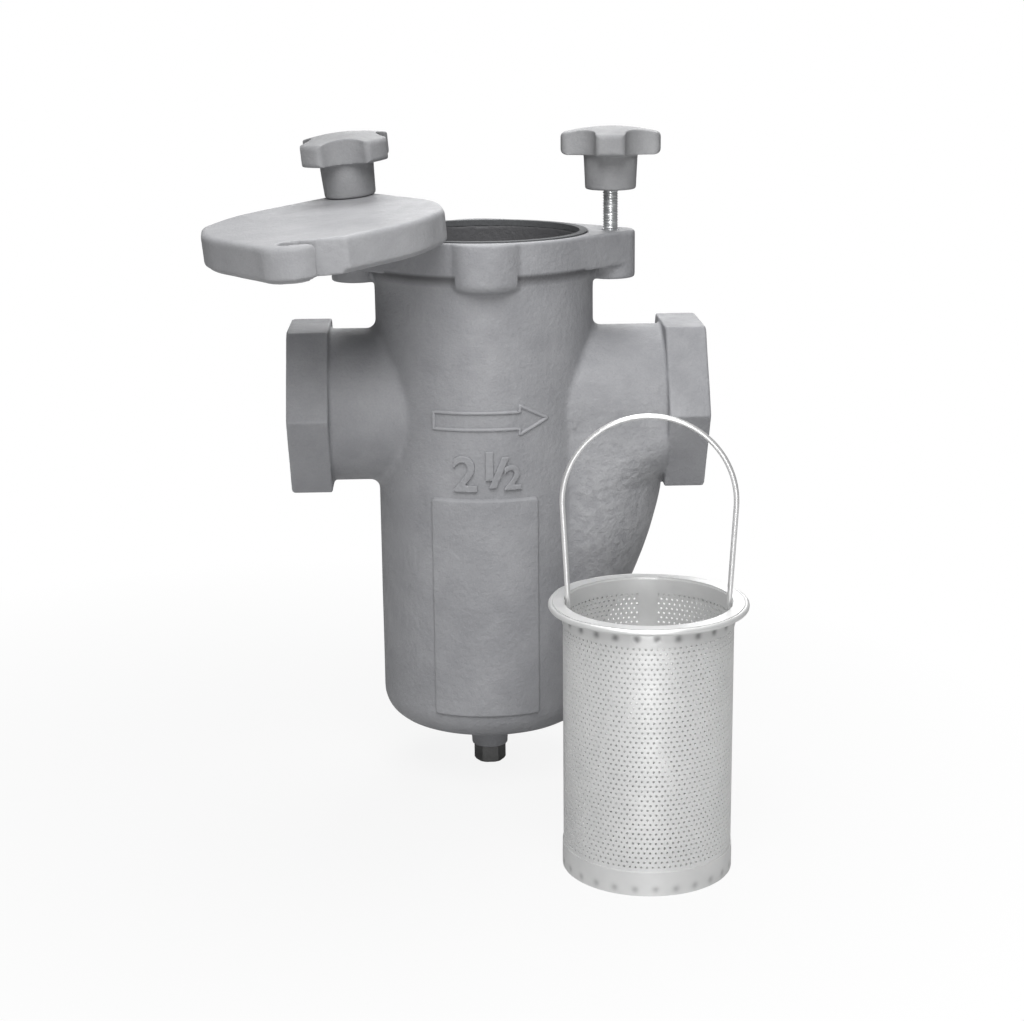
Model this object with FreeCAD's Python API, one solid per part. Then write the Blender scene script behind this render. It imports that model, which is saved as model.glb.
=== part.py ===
import FreeCAD, Part
import math
import os

# Basket strainer with a swing cover, opened for cleaning, its basket lifted out and stood in front.
# Millimetres. The origin is the centre of the inlet's face, +X is the way the water flows, +Z is up.

Vector = FreeCAD.Vector
UP = Vector(0, 0, 1)

# Threaded ends
face_to_face = 254.0
inlet_to_axis = 120.0          # the pot stands nearer the inlet, which leaves room for the outlet's hump
hex_across_flats = 99.0
hex_length = 25.0
hex_chamfer = 1.5
tap_radius = 33.4
tap_depth = 28.0
passage_radius = 31.5
neck_radius = 47.0
neck_wall = 9.0
inlet_crotch_fillet = 6.0      # cast fillets where the necks and the hump run into the pot
outlet_crotch_fillet = 5.0

# Pot
pot_radius = 67.0
pot_wall = 8.0
pot_floor_depth = 209.0        # port centreline to the lowest point of the dome outside
dome_crown_radius = 180.0
dome_knuckle_radius = 18.0
collar_flare = 2.5             # the pot widens this much where it meets the rim
collar_height = 14.0
seat_depth = 35.0              # port centreline down to the ledge that carries the basket
seat_thickness = 8.0
seat_bore_gap = 1.6            # between the basket's bands and the ledge's bore

# Outlet hump: the passage that rises outside the pot from under the ledge to the outlet
hump_top_reach = 110.5         # from the pot's axis to the hump's nose, at hump_top_depth
hump_top_depth = 50.0
hump_foot_depth = 155.0        # where the nose runs out into the pot
hump_nose_radius = 252.0

# Rim, cover outline and the two studs
rim_height = 106.0             # port centreline to the rim's top
rim_thickness = 20.5
rim_radius = 69.5
stud_reach = 78.0              # pot axis to each stud
stud_boss_radius = 15.0
stud_boss_height = 29.0
plate_side_reach = 71.3        # pot axis to the front and back of the rim's plate and the cover
plate_side_radius = 21.0       # how those two sides are rounded
lug_reach = 77.0               # pot axis to the front of the lugs, which stand proud of the plate
lug_radius = 24.0
lug_height = 29.0
lug_foot_fillet = 6.0
rim_edge_fillet = 1.5
gasket_recess_radius = 64.0
gasket_recess_depth = 3.0

# Studs, which hang in the bosses by hexagonal heads in pockets under them
stud_radius = 4.76
stud_pitch = 1.5875
stud_hole_gap = 0.24
head_across_flats = 14.29
head_height = 6.0
head_pocket_gap = 0.25
head_pocket_depth = 15.0
head_drop = 3.8                # free play of a loosened stud under the pocket's ceiling
thread_engagement = 14.0
thread_gap = 0.05

# Cover
cover_outline_inset = 0.5
cover_end_radius = 20.5        # the cover's slotted end is blunter than the rim's boss under it
cover_end_reach = 71.0
cover_thickness = 18.4
cover_edge_fillet = 3.0
cover_foot_fillet = 1.2
cover_lip_height = 2.0
cover_lip_inset = 2.6
cover_hole_gap = 0.44
slot_gap = 1.3
slot_sweep = 12.0              # degrees of swing over which the slot runs out of the cover's edge

# Gasket
gasket_width = 4.8
gasket_proud = 0.5
gasket_gap = 0.2               # to the recess's wall and to the closed cover

# How the loosened cover stands open
cover_open_swing = 100.2       # degrees from closed, clockwise seen from above
cover_further_swing = 12.0     # degrees that it still swings on from there
cover_lean = 5.9               # degrees that the loose pivot stud and the cover lean outwards
lean_azimuth = 210.5           # the way they lean, degrees from +X

# Hand knobs
knob_lobes = 4
knob_reach = 30.3
knob_valley_radius = 16.4
knob_valley_reach = 35.9
knob_lobe_fillet = 4.0
knob_hub_foot_radius = 15.4
knob_hub_top_radius = 16.5
knob_hub_height = 21.0
knob_head_height = 13.5
knob_dome_height = 3.2
knob_edge_radius = 3.0
knob_foot_fillet = 1.5
knob_bore_depth = 21.0
pivot_knob_gap = 0.3           # hub to cover, along each stud
clamp_knob_gap = 3.4
pivot_knob_turn = 45.0         # degrees, how each knob's lobes stand
clamp_knob_turn = 85.0

# Drain
drain_boss_foot_radius = 11.6
drain_boss_top_radius = 16.5
drain_boss_hollow = 1.6        # how far the boss's flared side curves in
drain_boss_length = 16.5       # below the dome's lowest point
plug_thread_radius = 8.3
plug_thread_gap = 0.05
plug_across_flats = 17.6
plug_head_height = 10.5
plug_head_gap = 0.2
plug_head_chamfer = 1.0

# Basket, standing on the level of the plug's foot
basket_x = 85.0                # from the pot's axis
basket_y = -166.9
basket_height = 155.5
basket_radius = 47.5
sheet_thickness = 1.0
band_thickness = 0.6
top_band_height = 10.7
foot_band_height = 14.0
flange_radius = 56.0
flange_thickness = 1.2
bead_radius = 1.6
bottom_disc_thickness = 1.2
bottom_disc_lift = 2.0
seam_width = 11.0
seam_thickness = 0.8
seam_azimuth = 84.0
fit_gap = 0.05

# Wire bail
wire_radius = 1.5
wire_hole_gap = 0.25
bail_foot_reach = 44.2
bail_arch_radius = 47.6
bail_rise = 103.8              # flange top to the wire's centreline at the arch's crown
bail_hinge_drop = 5.7          # flange top to the wire's holes
bail_bend_radius = 2.6
bail_hook_length = 3.0         # of wire outside the basket's wall
bail_azimuth = -6.0

# Places and levels worked out from these; the lean grows evenly with the swing
cover_most_lean = cover_lean * (cover_open_swing + cover_further_swing) / cover_open_swing
pot_x = inlet_to_axis
outlet_side = face_to_face - inlet_to_axis
pot_inner_radius = pot_radius - pot_wall
pivot_x = pot_x - stud_reach
clamp_x = pot_x + stud_reach
rim_foot = rim_height - rim_thickness
boss_foot = rim_height - stud_boss_height
pocket_ceiling = boss_foot + head_pocket_depth
lip_foot = rim_height + gasket_proud + gasket_gap
cover_foot = lip_foot + cover_lip_height
cover_top = cover_foot + cover_thickness
drain_foot = -pot_floor_depth - drain_boss_length
plug_foot = drain_foot - plug_head_gap - plug_head_height
basket_foot = plug_foot
basket_top = basket_foot + basket_height
basket_origin = Vector(pot_x + basket_x, basket_y, 0)
band_radius = basket_radius + band_thickness
stud_hole_radius = stud_radius + stud_hole_gap


def tube(outer, inner, foot, top):
    """A plain ring about the Z axis."""
    ring = Part.makeCylinder(outer, top - foot, Vector(0, 0, foot))
    return ring.cut(Part.makeCylinder(inner, top - foot + 2, Vector(0, 0, foot - 1)))


def hexagon(across_flats, turn=0.0):
    """Corners of a hexagon; at turn 0 its first corner lies on the first axis."""
    reach = across_flats / math.sqrt(3)
    angles = [math.radians(turn + 60 * k) for k in range(6)]
    return [(reach * math.cos(a), reach * math.sin(a)) for a in angles]


def prism(corners, foot, top):
    """A straight prism with corners in the XY plane."""
    points = [Vector(x, y, foot) for x, y in corners]
    face = Part.Face(Part.makePolygon(points + points[:1]))
    return face.extrude(Vector(0, 0, top - foot))


def revolved(edges):
    """A solid turned about the Z axis from edges in the XZ plane."""
    face = Part.Face(Part.Wire(Part.__sortEdges__(edges)))
    return face.revolve(Vector(0, 0, 0), UP, 360)


def line(start, end):
    return Part.makeLine(Vector(start[0], 0, start[1]), Vector(end[0], 0, end[1]))


def arc(start, middle, end):
    a, b, c = (Vector(p[0], 0, p[1]) for p in (start, middle, end))
    return Part.Arc(a, b, c).toShape()


def wrapped_outline(circles):
    """The closed line of tangents and arcs round a ring of circles, counter-clockwise."""
    count = len(circles)
    normals = []
    for k in range(count):
        ax, ay, ar = circles[k]
        bx, by, br = circles[(k + 1) % count]
        reach = math.hypot(bx - ax, by - ay)
        travel = math.atan2(by - ay, bx - ax)
        normals.append(travel - math.acos((ar - br) / reach))

    def on_circle(circle, angle):
        x, y, radius = circle
        return Vector(x + radius * math.cos(angle), y + radius * math.sin(angle), 0)

    edges = []
    for k, circle in enumerate(circles):
        start, end = normals[k - 1], normals[k]
        while end < start:
            end += 2 * math.pi
        middle = on_circle(circle, (start + end) / 2)
        edges.append(Part.Arc(on_circle(circle, start), middle, on_circle(circle, end)).toShape())
        following = circles[(k + 1) % count]
        edges.append(Part.makeLine(on_circle(circle, end), on_circle(following, end)))
    return Part.Wire(edges)


def rim_outline(inset, foot, top, clamp_end=(stud_reach, stud_boss_radius)):
    """The rounded rhombus of the rim and cover: an end at each stud, two sides, and the round rim between."""
    core = rim_radius - inset
    side = (plate_side_reach - plate_side_radius, plate_side_radius)
    pivot_end = (stud_reach, stud_boss_radius)
    circles = []
    for turn, (reach, radius) in enumerate((clamp_end, side, pivot_end, side)):
        angle = turn * math.pi / 2
        circles.append((reach * math.cos(angle), reach * math.sin(angle), radius - inset))
        half = angle + math.pi / 4
        circles.append((1e-3 * math.cos(half), 1e-3 * math.sin(half), core))
    plate = Part.Face(wrapped_outline(circles)).extrude(Vector(0, 0, top - foot))
    plate.translate(Vector(0, 0, foot))
    return plate


def edges_at(shape, level):
    """Edges that lie wholly in one horizontal plane."""
    found = []
    for edge in shape.Edges:
        box = edge.BoundBox
        if abs(box.ZMin - level) < 1e-4 and abs(box.ZMax - level) < 1e-4:
            found.append(edge)
    return found


def dished(radius, knuckle, crown, floor, top, stem, collar=None):
    """A round pot: shallow crown, knuckle and straight wall, a stem below, a flared collar or none above."""
    knuckle_level = floor + crown - math.sqrt((crown - knuckle) ** 2 - (radius - knuckle) ** 2)
    lean = math.asin((radius - knuckle) / (crown - knuckle))
    stem_foot_radius, stem_top_radius, stem_foot, stem_hollow = stem
    stem_angle = math.asin(stem_top_radius / crown)

    def on_crown(angle):
        return (crown * math.sin(angle), floor + crown - crown * math.cos(angle))

    def on_knuckle(angle):
        return (radius - knuckle + knuckle * math.sin(angle), knuckle_level - knuckle * math.cos(angle))

    right = math.pi / 2
    stem_top = on_crown(stem_angle)
    stem_side = line((stem_foot_radius, stem_foot), stem_top)
    if stem_hollow > 0:
        waist = ((stem_foot_radius + stem_top[0]) / 2 - stem_hollow, (stem_foot + stem_top[1]) / 2)
        stem_side = arc((stem_foot_radius, stem_foot), waist, stem_top)
    edges = [
        line((0, stem_foot), (stem_foot_radius, stem_foot)),
        stem_side,
        arc(on_crown(stem_angle), on_crown((stem_angle + lean) / 2), on_crown(lean)),
        arc(on_crown(lean), on_knuckle((lean + right) / 2), on_knuckle(right)),
    ]
    if collar:
        flare, height = collar
        throat = top - height
        bend = (height ** 2 + flare ** 2) / (2 * flare)
        half = math.asin(height / bend) / 2
        swell = (radius + bend * (1 - math.cos(half)), throat + bend * math.sin(half))
        edges.append(line(on_knuckle(right), (radius, throat)))
        edges.append(arc((radius, throat), swell, (radius + flare, top)))
        edges.append(line((radius + flare, top), (0, top)))
    else:
        edges.append(line(on_knuckle(right), (radius, top)))
        edges.append(line((radius, top), (0, top)))
    edges.append(line((0, top), (0, stem_foot)))
    return revolved(edges)


def hump_nose(depth):
    """How far the hump's nose stands from the pot's axis at a depth below the port centreline."""
    run = hump_foot_depth - hump_top_depth
    fall = hump_top_reach - pot_radius
    chord = math.hypot(run, fall)
    stand = math.sqrt(hump_nose_radius ** 2 - (chord / 2) ** 2)
    centre_reach = (hump_top_reach + pot_radius) / 2 - stand * run / chord
    centre_depth = (hump_top_depth + hump_foot_depth) / 2 - stand * fall / chord
    return centre_reach + math.sqrt(hump_nose_radius ** 2 - (depth - centre_depth) ** 2)


def hump(wall):
    """A round column whose nose follows the hump's arc, from the port centreline down into the pot."""
    radius = neck_radius - wall
    depths = [0.0, hump_top_depth] + [
        hump_top_depth + (hump_foot_depth - hump_top_depth) * k / 4 for k in range(1, 5)
    ]
    rings = []
    for depth in depths:
        reach = hump_nose(max(depth, hump_top_depth)) - wall - radius
        circle = Part.Circle(Vector(reach, 0, -depth), UP, radius)
        rings.append(Part.Wire([circle.toShape()]))
    return Part.makeLoft(rings[1:], True, False).fuse(Part.makeLoft(rings[:2], True, True))


def hex_end(reach):
    """One threaded end, its face at a distance along +X, flats at top and bottom, corners eased."""
    block = prism(hexagon(hex_across_flats, 30), 0, hex_length)
    corner = hex_across_flats / math.sqrt(3)
    ease = Part.makeCone(corner + hex_length - hex_chamfer, corner - hex_chamfer, hex_length)
    block = block.common(ease)
    block.rotate(Vector(0, 0, 0), Vector(0, 1, 0), 90)
    block.translate(Vector(reach - hex_length, 0, 0))
    return block


def along_x(radius, start, end):
    return Part.makeCylinder(radius, end - start, Vector(start, 0, 0), Vector(1, 0, 0))


def tapped_mouth(reach):
    """The tapped hole of an end with its face at a distance along +X, as a plain cylinder."""
    return along_x(tap_radius, reach - tap_depth, reach + 1)


def turned_to_inlet(shape):
    shape.rotate(Vector(0, 0, 0), UP, 180)
    return shape


def lean_shift(depth):
    """How far the leaning stud's axis moves sideways at a depth below the rim's top."""
    lean = math.radians(cover_most_lean)
    return depth * math.sin(lean) + stud_boss_radius * (1 - math.cos(lean))


def stretched(corners, shift):
    """A hexagon drawn out along its first axis, from its own place to a place shifted back."""
    return [(x - shift if x < 0 else x, y) for x, y in corners]


def stud_hole(shift_at_ceiling, shift_at_head):
    """The hole and head pocket of one boss, drawn out by the room that a leaning stud needs."""
    across = head_across_flats + 2 * head_pocket_gap
    pocket = prism(stretched(hexagon(across), shift_at_head), boss_foot - 1, pocket_ceiling)
    hole = Part.makeCylinder(stud_hole_radius, rim_height - boss_foot + 2, Vector(0, 0, boss_foot - 1))
    if shift_at_ceiling > 0:
        low = pocket_ceiling - 1
        high = rim_height + 1
        slot = Part.makeBox(shift_at_ceiling, 2 * stud_hole_radius, high - low)
        slot.translate(Vector(-shift_at_ceiling, -stud_hole_radius, low))
        end = Part.makeCylinder(stud_hole_radius, high - low, Vector(-shift_at_ceiling, 0, low))
        hole = hole.fuse([slot, end])
    return hole.fuse(pocket)


def crotch_edges(shape, side):
    """Edges where something runs into the pot's round wall, on one side of its axis."""
    found = []
    for edge in shape.Edges:
        first, last = edge.ParameterRange
        points = [edge.valueAt(first + (last - first) * k / 4) for k in range(5)]
        on_wall = all(abs(math.hypot(p.x, p.y) - pot_radius) < 0.05 for p in points)
        upright_seam = all(abs(p.y) < 1e-3 for p in points)
        if on_wall and not upright_seam and edge.BoundBox.ZLength > 1 and points[1].x * side > 0:
            found.append(edge)
    return found


def strainer_body():
    """The one-piece casting: pot, ends, necks, hump, rim, bosses and everything cored out of it."""
    casting = dished(
        pot_radius, dome_knuckle_radius, dome_crown_radius, -pot_floor_depth, rim_foot,
        (drain_boss_foot_radius, drain_boss_top_radius, drain_foot, drain_boss_hollow),
        (collar_flare, collar_height),
    )
    inlet_neck = along_x(neck_radius, -(inlet_to_axis - hex_length / 2), 0)
    outlet_neck = along_x(neck_radius, 0, outlet_side - hex_length / 2)
    outlet_clear = along_x(2 * neck_radius, outlet_side - hex_length, outlet_side)
    hump_column = hump(0).cut(outlet_clear)
    casting = casting.fuse([inlet_neck, outlet_neck, hump_column])
    casting = casting.makeFillet(inlet_crotch_fillet, crotch_edges(casting, -1))
    casting = casting.makeFillet(outlet_crotch_fillet, crotch_edges(casting, 1))
    casting = casting.fuse([hex_end(outlet_side), turned_to_inlet(hex_end(inlet_to_axis))])

    rim = rim_outline(0, rim_foot, rim_height)
    rim = rim.makeFillet(rim_edge_fillet, edges_at(rim, rim_foot))
    bosses = []
    for side in (-1, 1):
        boss = Part.makeCylinder(stud_boss_radius, stud_boss_height, Vector(side * stud_reach, 0, boss_foot))
        bosses.append(boss.makeFillet(rim_edge_fillet, edges_at(boss, boss_foot)))
        lug_centre = side * (lug_reach - lug_radius)
        lug_foot = rim_height - lug_height
        lug = Part.makeCylinder(lug_radius, lug_height, Vector(0, lug_centre, lug_foot))
        bosses.append(lug.makeFillet(lug_foot_fillet, edges_at(lug, lug_foot)))
    casting = casting.fuse([rim] + bosses)

    # The upper chamber, the chamber round the basket, the drain, and the ledge left between the chambers
    drain_radius = plug_thread_radius + plug_thread_gap
    chamber = dished(
        pot_inner_radius, dome_knuckle_radius - pot_wall, dome_crown_radius - pot_wall,
        -pot_floor_depth + pot_wall, rim_height + 1, (drain_radius, drain_radius, drain_foot - 1, 0),
    )
    ledge = tube(
        pot_inner_radius + 1, band_radius + seat_bore_gap, -seat_depth - seat_thickness, -seat_depth,
    )
    recess = Part.makeCylinder(gasket_recess_radius, gasket_recess_depth + 1,
                               Vector(0, 0, rim_height - gasket_recess_depth))

    # The outlet passage starts under the ledge and stays outside the pot's wall above it
    rise = hump(neck_wall)
    elbow = along_x(neck_radius - neck_wall, pot_inner_radius / 2, outlet_side - tap_depth - neck_wall)
    passage = rise.fuse([elbow, along_x(passage_radius, pot_inner_radius / 2, outlet_side)])
    pot_wall_kept = Part.makeCylinder(
        pot_radius, rim_height + seat_depth + seat_thickness, Vector(0, 0, -seat_depth - seat_thickness),
    )
    passage = passage.cut(pot_wall_kept)
    inlet_passage = along_x(passage_radius, -inlet_to_axis, -pot_inner_radius / 2)

    hollow = chamber.cut(ledge).fuse([recess, passage, inlet_passage])
    hollow = hollow.fuse([tapped_mouth(outlet_side), turned_to_inlet(tapped_mouth(inlet_to_axis))])

    clamp_hole = stud_hole(0, 0)
    clamp_hole.translate(Vector(stud_reach, 0, 0))
    head_depth = rim_height - pocket_ceiling + head_drop + head_height
    pivot_hole = stud_hole(lean_shift(rim_height - pocket_ceiling), lean_shift(head_depth) + head_pocket_gap)
    pivot_hole.rotate(Vector(0, 0, 0), UP, lean_azimuth)
    pivot_hole.translate(Vector(-stud_reach, 0, 0))

    casting = casting.cut(hollow).cut(clamp_hole).cut(pivot_hole)
    casting.translate(Vector(pot_x, 0, 0))
    return casting


def cover_gasket():
    """The flat ring in the rim's recess."""
    outer = gasket_recess_radius - gasket_gap
    ring = tube(outer, outer - gasket_width, rim_height - gasket_recess_depth, rim_height + gasket_proud)
    ring.translate(Vector(pot_x, 0, 0))
    return ring


def closed_cover():
    """The cover as it lies on the rim: plate, seating lip, pivot hole and the clamp stud's slot."""
    slotted_end = (cover_end_reach, cover_end_radius)
    plate = rim_outline(cover_outline_inset, cover_foot, cover_top, slotted_end)
    plate = plate.makeFillet(cover_edge_fillet, edges_at(plate, cover_top))
    plate = plate.makeFillet(cover_foot_fillet, edges_at(plate, cover_foot))
    plate = plate.fuse(rim_outline(cover_outline_inset + cover_lip_inset, lip_foot, cover_foot, slotted_end))

    # The slot is an arc about the pivot, so that the cover swings on to the stud
    half_width = stud_radius + slot_gap
    span = 2 * stud_reach
    height = cover_top - lip_foot + 2
    foot = lip_foot - 1
    swept = Part.makeCylinder(span + half_width, height, Vector(0, 0, foot), UP, slot_sweep)
    swept = swept.cut(Part.makeCylinder(span - half_width, height, Vector(0, 0, foot)))
    seat = Part.makeCylinder(half_width, height, Vector(span, 0, foot))
    hole = Part.makeCylinder(stud_radius + cover_hole_gap, height, Vector(0, 0, foot))
    cuts = swept.fuse([seat, hole])
    cuts.translate(Vector(-stud_reach, 0, 0))
    plate = plate.cut(cuts)
    plate.translate(Vector(pot_x, 0, 0))
    return plate


def stud(hub_foot):
    """A stud with its head, which ends inside the knob whose hub starts at hub_foot."""
    head_top = pocket_ceiling - head_drop
    head = prism(hexagon(head_across_flats), head_top - head_height, head_top)
    top = hub_foot + thread_engagement
    shank = Part.makeCylinder(stud_radius, top - head_top + head_height, Vector(0, 0, head_top - head_height))
    shank = shank.makeChamfer(stud_pitch / 2, edges_at(shank, top))
    return head.fuse(shank)


def knob(hub_foot):
    """A four-lobed hand knob on a tapered hub, tapped from below."""
    head_foot = hub_foot + knob_hub_height
    head_top = head_foot + knob_head_height
    hub = Part.makeCone(knob_hub_foot_radius, knob_hub_top_radius, knob_hub_height + 1, Vector(0, 0, hub_foot))
    hub = hub.makeFillet(knob_foot_fillet, edges_at(hub, hub_foot))

    star = Part.makeCylinder(knob_reach, knob_head_height + knob_dome_height, Vector(0, 0, head_foot))
    for lobe in range(knob_lobes):
        angle = 2 * math.pi * (lobe + 0.5) / knob_lobes
        centre = Vector(knob_valley_reach * math.cos(angle), knob_valley_reach * math.sin(angle), head_foot - 1)
        star = star.cut(Part.makeCylinder(knob_valley_radius, 2 * knob_reach, centre))
    uprights = [e for e in star.Edges if e.BoundBox.ZLength > knob_head_height]
    corners = [e for e in uprights if len(e.Vertexes) == 2 and e.Curve.TypeId == "Part::GeomLine"]
    star = star.makeFillet(knob_lobe_fillet, corners)

    ease = knob_edge_radius
    bevel = ease * (1 - math.sqrt(0.5))
    rise = head_top + knob_dome_height
    shoulder = knob_reach - ease
    crown = (shoulder ** 2 + knob_dome_height ** 2) / (2 * knob_dome_height)
    half = math.asin(shoulder / crown) / 2
    dome = revolved([
        line((0, head_foot), (shoulder, head_foot)),
        arc((shoulder, head_foot), (knob_reach - bevel, head_foot + bevel), (knob_reach, head_foot + ease)),
        line((knob_reach, head_foot + ease), (knob_reach, head_top - ease)),
        arc((knob_reach, head_top - ease), (knob_reach - bevel, head_top - bevel), (shoulder, head_top)),
        arc((shoulder, head_top), (crown * math.sin(half), rise - crown * (1 - math.cos(half))), (0, rise)),
        line((0, rise), (0, head_foot)),
    ])
    bore = Part.makeCylinder(stud_radius + thread_gap, knob_bore_depth, Vector(0, 0, hub_foot))
    return hub.fuse(star.common(dome)).cut(bore)


def lean_out(shape):
    """Leans a piece of the pivot outwards about the outer top edge of its boss."""
    azimuth = math.radians(lean_azimuth)
    outward = Vector(math.cos(azimuth), math.sin(azimuth), 0)
    edge = Vector(pivot_x, 0, rim_height) + outward * stud_boss_radius
    shape.rotate(edge, UP.cross(outward), cover_lean)
    return shape


def open_cover():
    cover = closed_cover()
    cover.rotate(Vector(pivot_x, 0, 0), UP, -cover_open_swing)
    return lean_out(cover)


def pivot_stud():
    """The loose stud that the cover swings on; its head's corners lie along the slotted hole."""
    piece = stud(cover_top + pivot_knob_gap)
    piece.rotate(Vector(0, 0, 0), UP, lean_azimuth)
    piece.translate(Vector(pivot_x, 0, 0))
    return lean_out(piece)


def pivot_knob():
    piece = knob(cover_top + pivot_knob_gap)
    piece.rotate(Vector(0, 0, 0), UP, pivot_knob_turn)
    piece.translate(Vector(pivot_x, 0, 0))
    return lean_out(piece)


def clamp_stud():
    piece = stud(cover_top + clamp_knob_gap)
    piece.translate(Vector(clamp_x, 0, 0))
    return piece


def clamp_knob():
    piece = knob(cover_top + clamp_knob_gap)
    piece.rotate(Vector(0, 0, 0), UP, clamp_knob_turn)
    piece.translate(Vector(clamp_x, 0, 0))
    return piece


def drain_plug():
    """A hexagon-headed pipe plug screwed into the drain boss from below."""
    head_top = plug_foot + plug_head_height
    head = prism(hexagon(plug_across_flats), plug_foot, head_top)
    corner = plug_across_flats / math.sqrt(3)
    cone = Part.makeCone(corner - plug_head_chamfer, corner + plug_head_height - plug_head_chamfer,
                         plug_head_height, Vector(0, 0, plug_foot))
    shank_top = -pot_floor_depth + pot_wall
    shank = Part.makeCylinder(plug_thread_radius, shank_top - head_top, Vector(0, 0, head_top))
    plug = head.common(cone).fuse(shank)
    plug.translate(Vector(pot_x, 0, 0))
    return plug


def bail_holes():
    """The two wire holes through the basket's wall, on the bail's hinge line."""
    reach = flange_radius
    level = basket_top - bail_hinge_drop
    drill = Part.makeCylinder(wire_radius + wire_hole_gap, 2 * reach, Vector(-reach, 0, level), Vector(1, 0, 0))
    drill.rotate(Vector(0, 0, 0), UP, bail_azimuth)
    return drill


def in_basket_place(shape):
    shape.translate(basket_origin)
    return shape


def basket_shell():
    """The basket's round wall, drawn without its perforations."""
    wall = tube(basket_radius, basket_radius - sheet_thickness, basket_foot, basket_top - flange_thickness)
    return in_basket_place(wall.cut(bail_holes()))


def basket_top_band():
    top = basket_top - flange_thickness
    band = tube(band_radius, basket_radius, top - top_band_height, top)
    return in_basket_place(band.cut(bail_holes()))


def basket_foot_band():
    return in_basket_place(tube(band_radius, basket_radius, basket_foot, basket_foot + foot_band_height))


def basket_flange():
    """The flat ring that the basket hangs by, its outer edge rolled under."""
    inner = basket_radius - sheet_thickness
    centre = flange_radius - bead_radius
    web = tube(centre, inner, basket_top - flange_thickness, basket_top)
    bead = Part.makeTorus(centre, bead_radius, Vector(0, 0, basket_top - bead_radius))
    return in_basket_place(web.fuse(bead))


def basket_bottom():
    foot = basket_foot + bottom_disc_lift
    disc = Part.makeCylinder(basket_radius - sheet_thickness - fit_gap, bottom_disc_thickness, Vector(0, 0, foot))
    return in_basket_place(disc)


def basket_seam_strip():
    """The plain strip that covers the wall's upright seam inside."""
    outer = basket_radius - sheet_thickness - fit_gap
    foot = basket_foot + bottom_disc_lift + bottom_disc_thickness
    top = basket_top - flange_thickness
    ring = tube(outer, outer - seam_thickness, foot, top)
    block = Part.makeBox(2 * basket_radius, seam_width, top - foot, Vector(0, -seam_width / 2, foot))
    block.rotate(Vector(0, 0, 0), UP, seam_azimuth)
    return in_basket_place(ring.common(block))


def basket_bail():
    """The wire handle: hooked ends through the wall, two legs and a round arch tangent to them."""
    hinge = basket_top - bail_hinge_drop
    arch_level = basket_top + bail_rise - bail_arch_radius
    drop = hinge - arch_level
    reach = math.hypot(bail_foot_reach, drop)
    tangent = math.atan2(drop, bail_foot_reach) + math.acos(bail_arch_radius / reach)
    spring_x = bail_arch_radius * math.cos(tangent)
    spring_z = arch_level + bail_arch_radius * math.sin(tangent)
    slope = math.atan2(spring_x - bail_foot_reach, spring_z - hinge)

    # The bend from hook to leg is tangent to both, and its corner lies on the hinge line
    turn = math.pi / 2 + slope
    setback = bail_bend_radius * math.tan(turn / 2)
    hook_end = (band_radius + bail_hook_length, hinge)
    bend_start = (bail_foot_reach + setback, hinge)
    bend_end = (bail_foot_reach + setback * math.sin(slope), hinge + setback * math.cos(slope))
    bend_centre = (bend_start[0], hinge + bail_bend_radius)
    middle_angle = -math.pi / 2 - turn / 2
    bend_middle = (
        bend_centre[0] + bail_bend_radius * math.cos(middle_angle),
        bend_centre[1] + bail_bend_radius * math.sin(middle_angle),
    )

    def mirrored(point):
        return (-point[0], point[1])

    edges = [
        line(hook_end, bend_start),
        arc(bend_start, bend_middle, bend_end),
        line(bend_end, (spring_x, spring_z)),
        arc((spring_x, spring_z), (0, basket_top + bail_rise), (-spring_x, spring_z)),
        line((-spring_x, spring_z), mirrored(bend_end)),
        arc(mirrored(bend_end), mirrored(bend_middle), mirrored(bend_start)),
        line(mirrored(bend_start), mirrored(hook_end)),
    ]
    path = Part.Wire(edges)
    circle = Part.Circle(Vector(hook_end[0], 0, hinge), Vector(1, 0, 0), wire_radius)
    wire = path.makePipeShell([Part.Wire([circle.toShape()])], True, False)
    wire.rotate(Vector(0, 0, 0), UP, bail_azimuth)
    return in_basket_place(wire)


PIECES = {
    "strainer_body": strainer_body,
    "cover_gasket": cover_gasket,
    "cover": open_cover,
    "pivot_stud": pivot_stud,
    "pivot_knob": pivot_knob,
    "clamp_stud": clamp_stud,
    "clamp_knob": clamp_knob,
    "drain_plug": drain_plug,
    "basket_shell": basket_shell,
    "basket_top_band": basket_top_band,
    "basket_foot_band": basket_foot_band,
    "basket_flange": basket_flange,
    "basket_bottom": basket_bottom,
    "basket_seam_strip": basket_seam_strip,
    "basket_bail": basket_bail,
}

os.makedirs("parts", exist_ok=True)
for name, build in PIECES.items():
    piece = build()
    piece.exportStep("parts/" + name + ".step")
    box = piece.BoundBox
    print(
        name, "valid" if piece.isValid() else "INVALID", len(piece.Solids), "solid",
        "x %.1f..%.1f" % (box.XMin, box.XMax), "y %.1f..%.1f" % (box.YMin, box.YMax),
        "z %.1f..%.1f" % (box.ZMin, box.ZMax), "volume %.0f" % piece.Volume,
    )
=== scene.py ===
import math

import bmesh
import bpy
from mathutils import Matrix, Vector, noise


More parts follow.
